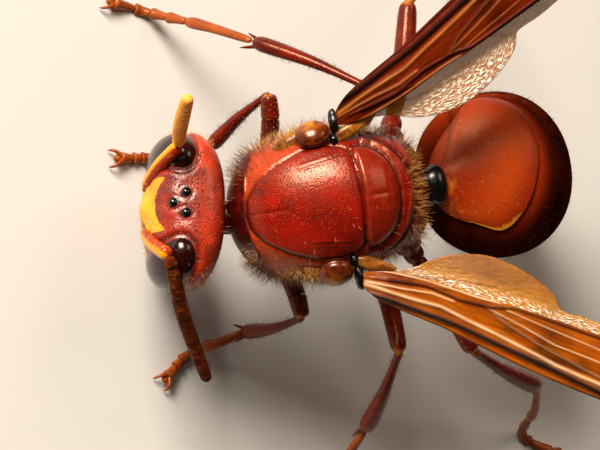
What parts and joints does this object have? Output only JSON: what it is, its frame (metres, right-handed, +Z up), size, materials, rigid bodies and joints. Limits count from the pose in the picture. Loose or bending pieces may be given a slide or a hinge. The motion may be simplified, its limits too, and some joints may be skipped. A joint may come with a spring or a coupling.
{
  "type": "oriental hornet",
  "caption": "Life-size standing hornet with folded wings held out in a V, a lowered head, a curled gaster and jointed legs, as a display model of an insect.",
  "frame": {"origin": "middle of the bounding box on the plane that the feet stand on", "axes": "-X the way the head faces, +Y the insect's right side, +Z up"},
  "size_m": [0.02, 0.024, 0.0179],
  "materials": {
    "red_cuticle": "glossy dark red-brown chitin",
    "dark_cuticle": "glossy brown-black chitin",
    "yellow_cuticle": "satin yellow chitin",
    "orange_cuticle": "satin orange-brown chitin",
    "eye_black": "glossy black cornea",
    "wing_amber": "smooth amber membrane",
    "wing_pale": "smooth pale golden membrane"
  },
  "bodies": {
    "root": {"antenna_left_flagellum": "orange_cuticle", "antenna_left_scape": "orange_cuticle", "antenna_right_flagellum": "orange_cuticle", "antenna_right_scape": "orange_cuticle", "eye_left": "eye_black", "eye_right": "eye_black", "forewing_left": "wing_amber", "forewing_right": "wing_amber", "gaster_1": "red_cuticle", "gaster_2": "dark_cuticle", "gaster_3": "yellow_cuticle", "gaster_4": "yellow_cuticle", "gaster_5": "dark_cuticle", "gaster_6": "dark_cuticle", "head": "red_cuticle", "hindwing_left": "wing_pale", "hindwing_right": "wing_pale", "leg_fore_left_coxa": "red_cuticle", "leg_fore_left_femur": "red_cuticle", "leg_fore_left_tarsus": "orange_cuticle", "leg_fore_left_tibia": "red_cuticle", "leg_fore_right_coxa": "red_cuticle", "leg_fore_right_femur": "red_cuticle", "leg_fore_right_tarsus": "orange_cuticle", "leg_fore_right_tibia": "red_cuticle", "leg_hind_left_coxa": "red_cuticle", "leg_hind_left_femur": "red_cuticle", "leg_hind_left_tarsus": "orange_cuticle", "leg_hind_left_tibia": "red_cuticle", "leg_hind_right_coxa": "red_cuticle", "leg_hind_right_femur": "red_cuticle", "leg_hind_right_tarsus": "orange_cuticle", "leg_hind_right_tibia": "red_cuticle", "leg_mid_left_coxa": "red_cuticle", "leg_mid_left_femur": "red_cuticle", "leg_mid_left_tarsus": "orange_cuticle", "leg_mid_left_tibia": "red_cuticle", "leg_mid_right_coxa": "red_cuticle", "leg_mid_right_femur": "red_cuticle", "leg_mid_right_tarsus": "orange_cuticle", "leg_mid_right_tibia": "red_cuticle", "mandible_left": "orange_cuticle", "mandible_right": "orange_cuticle", "mesothorax": "red_cuticle", "mouthparts": "orange_cuticle", "pronotum": "red_cuticle", "propodeum": "red_cuticle", "tegula_left": "orange_cuticle", "tegula_right": "orange_cuticle"}
  },
  "joints": []
}
